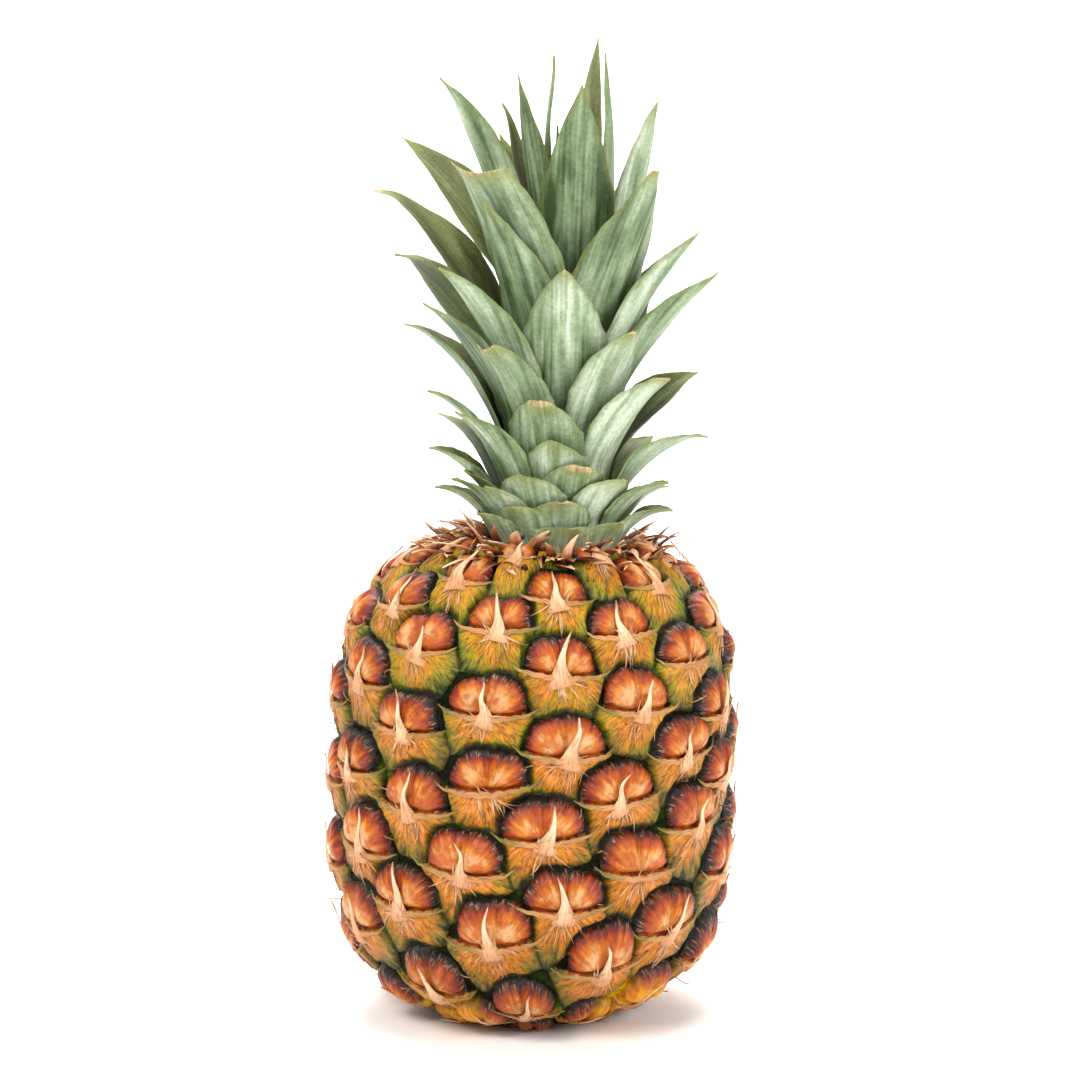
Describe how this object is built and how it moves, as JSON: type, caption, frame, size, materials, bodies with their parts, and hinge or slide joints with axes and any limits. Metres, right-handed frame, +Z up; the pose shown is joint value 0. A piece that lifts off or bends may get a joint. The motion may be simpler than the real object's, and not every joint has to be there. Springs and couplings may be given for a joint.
{
  "type": "pineapple",
  "caption": "Whole ripe pineapple with a barrel-shaped body of raised hexagonal eyes and an upright crown of pointed leaves, standing on its base.",
  "frame": {"origin": "centre of the small flat spot under the fruit that it stands on", "axes": "+Z up from the base through the fruit to the crown, -Y the front, +X the side the crown leans to"},
  "size_m": [0.1211, 0.121, 0.2871],
  "materials": {
    "fruit_skin": "dry, fibrous rind: tan and orange-brown eyes with dark rims and olive-green grooves",
    "stem_flesh": "pale fibrous stem, matt",
    "leaf_blade": "stiff grey-green leaf with a waxy bloom, fine lengthwise veins, olive edges and dry brown tips"
  },
  "bodies": {
    "root": {"fruit": "fruit_skin", "crown_stem": "stem_flesh", "leaf_01": "leaf_blade", "leaf_02": "leaf_blade", "leaf_03": "leaf_blade", "leaf_04": "leaf_blade", "leaf_05": "leaf_blade", "leaf_06": "leaf_blade", "leaf_07": "leaf_blade", "leaf_08": "leaf_blade", "leaf_09": "leaf_blade", "leaf_10": "leaf_blade", "leaf_11": "leaf_blade", "leaf_12": "leaf_blade", "leaf_13": "leaf_blade", "leaf_14": "leaf_blade", "leaf_15": "leaf_blade", "leaf_16": "leaf_blade", "leaf_17": "leaf_blade", "leaf_18": "leaf_blade", "leaf_19": "leaf_blade", "leaf_20": "leaf_blade", "leaf_21": "leaf_blade", "leaf_22": "leaf_blade", "leaf_23": "leaf_blade", "leaf_24": "leaf_blade", "leaf_25": "leaf_blade", "leaf_26": "leaf_blade", "leaf_27": "leaf_blade", "leaf_28": "leaf_blade", "leaf_29": "leaf_blade", "leaf_30": "leaf_blade", "leaf_31": "leaf_blade", "leaf_32": "leaf_blade", "leaf_33": "leaf_blade", "leaf_34": "leaf_blade", "leaf_35": "leaf_blade", "leaf_36": "leaf_blade", "leaf_37": "leaf_blade", "leaf_38": "leaf_blade", "leaf_39": "leaf_blade", "leaf_40": "leaf_blade", "leaf_41": "leaf_blade", "leaf_42": "leaf_blade", "leaf_43": "leaf_blade", "leaf_44": "leaf_blade", "leaf_45": "leaf_blade", "leaf_46": "leaf_blade", "leaf_47": "leaf_blade", "leaf_48": "leaf_blade", "leaf_49": "leaf_blade", "leaf_50": "leaf_blade", "leaf_51": "leaf_blade", "leaf_52": "leaf_blade", "leaf_53": "leaf_blade", "leaf_54": "leaf_blade", "leaf_55": "leaf_blade", "leaf_56": "leaf_blade", "leaf_57": "leaf_blade", "leaf_58": "leaf_blade"}
  },
  "joints": []
}
